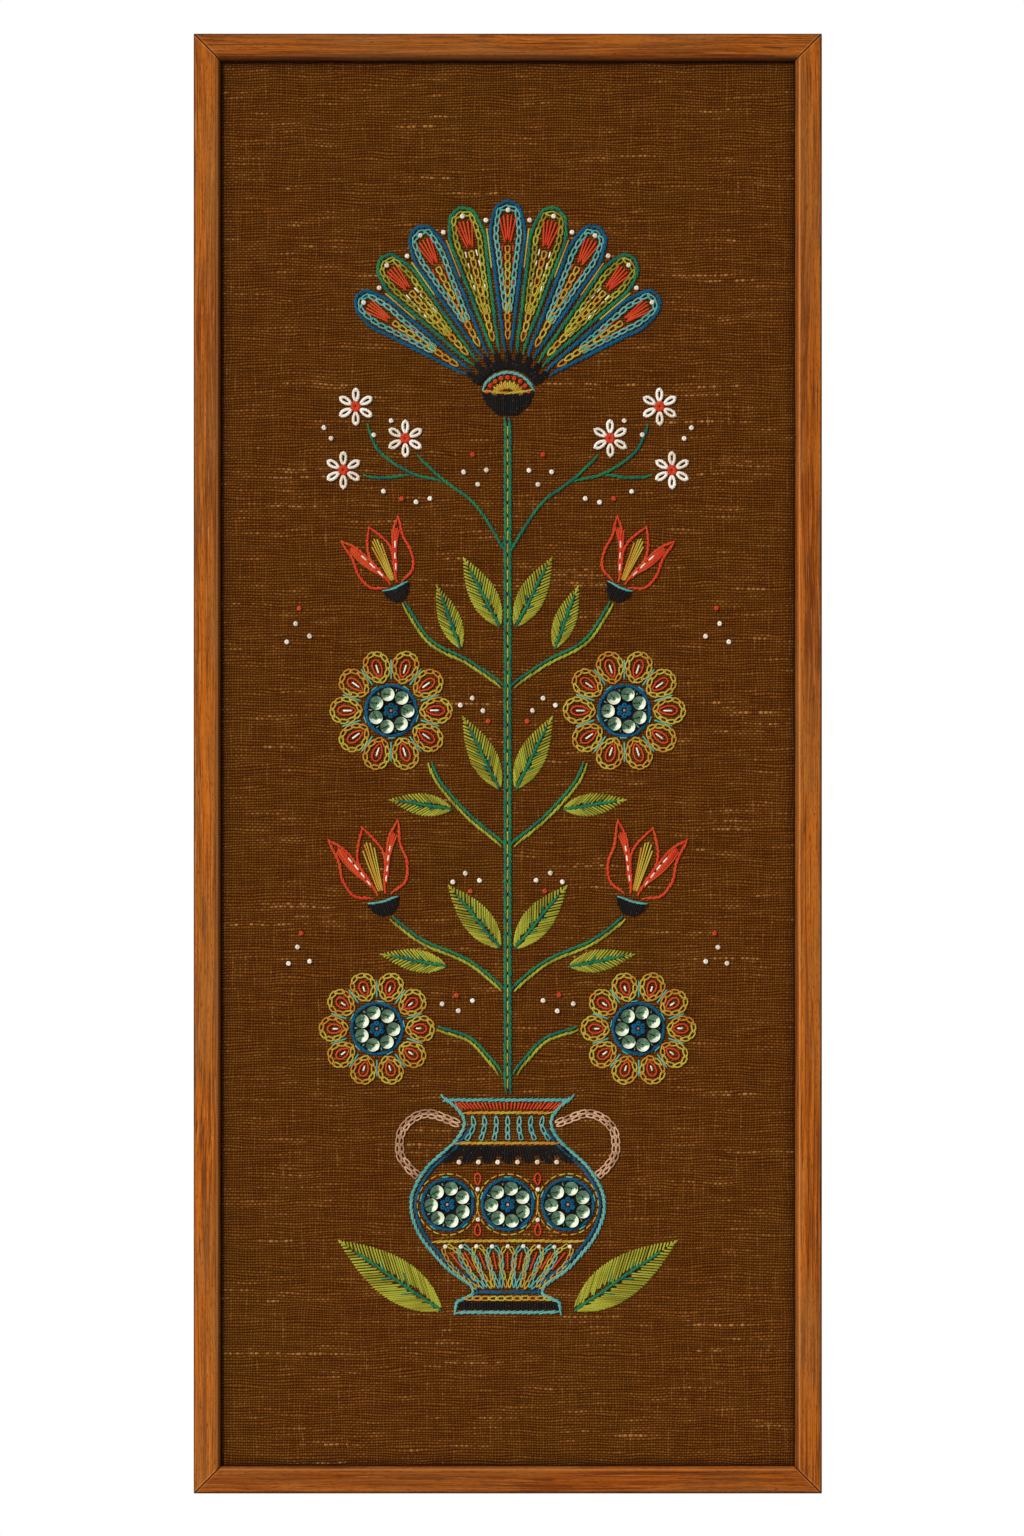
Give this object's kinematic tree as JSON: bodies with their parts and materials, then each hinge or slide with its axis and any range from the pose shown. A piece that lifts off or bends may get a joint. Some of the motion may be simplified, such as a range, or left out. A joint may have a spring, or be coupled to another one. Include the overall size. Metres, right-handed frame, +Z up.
{
  "type": "framed embroidery",
  "caption": "Tall narrow wooden frame around a coarse cloth stitched in wool with a vase of flowers, on a flat board, for hanging on a wall.",
  "frame": {"origin": "middle of the top rail's flat back face, where the wall holds the frame", "axes": "+Z up along the frame's height, +Y out of the frame's back into the wall, +X to the viewer's right"},
  "size_m": [0.355, 0.019, 0.825],
  "materials": {
    "frame_wood": "oiled reddish-brown hardwood with a soft satin sheen",
    "ground_cloth": "coarse slubbed plain weave, dark brown with gold threads",
    "mount_board": "bare pressed fibre board",
    "yarn_blue": "two-ply crewel wool",
    "yarn_turquoise": "two-ply crewel wool",
    "yarn_green": "two-ply crewel wool",
    "yarn_olive": "two-ply crewel wool",
    "yarn_gold": "two-ply crewel wool, shaded from gold to orange",
    "yarn_red": "two-ply crewel wool",
    "yarn_white": "two-ply crewel wool",
    "yarn_black": "two-ply crewel wool",
    "yarn_taupe": "two-ply crewel wool",
    "sequin": "pearly pale green cupped discs"
  },
  "bodies": {
    "root": {"frame_rail_top": "frame_wood", "frame_rail_right": "frame_wood", "frame_rail_bottom": "frame_wood", "frame_rail_left": "frame_wood", "ground_cloth": "ground_cloth", "mount_board": "mount_board", "stems": "yarn_green", "vase": "yarn_turquoise", "vase_handle_left": "yarn_taupe", "vase_handle_right": "yarn_taupe", "leaf_low_left": "yarn_olive", "leaf_low_right": "yarn_olive", "leaf_middle_left": "yarn_olive", "leaf_middle_right": "yarn_olive", "leaf_high_left": "yarn_olive", "leaf_high_right": "yarn_olive", "leaf_tulip_left": "yarn_olive", "leaf_tulip_right": "yarn_olive", "leaf_round_left": "yarn_olive", "leaf_round_right": "yarn_olive", "leaf_bud_left": "yarn_olive", "leaf_bud_right": "yarn_olive", "leaf_ground_left": "yarn_olive", "leaf_ground_right": "yarn_olive", "round_flower_low_petals_left": "yarn_gold", "round_flower_low_petals_right": "yarn_gold", "round_flower_high_petals_left": "yarn_gold", "round_flower_high_petals_right": "yarn_gold", "round_flower_low_sequins_left": "sequin", "round_flower_low_sequins_right": "sequin", "round_flower_high_sequins_left": "sequin", "round_flower_high_sequins_right": "sequin", "tulip_low_cup_left": "yarn_red", "tulip_low_cup_right": "yarn_red", "tulip_high_cup_left": "yarn_red", "tulip_high_cup_right": "yarn_red", "tulip_low_calyx_left": "yarn_black", "tulip_low_calyx_right": "yarn_black", "tulip_high_calyx_left": "yarn_black", "tulip_high_calyx_right": "yarn_black", "star_inner_left": "yarn_white", "star_inner_right": "yarn_white", "star_middle_left": "yarn_white", "star_middle_right": "yarn_white", "star_outer_left": "yarn_white", "star_outer_right": "yarn_white", "fan": "yarn_blue", "fan_calyx": "yarn_black"}
  },
  "joints": []
}
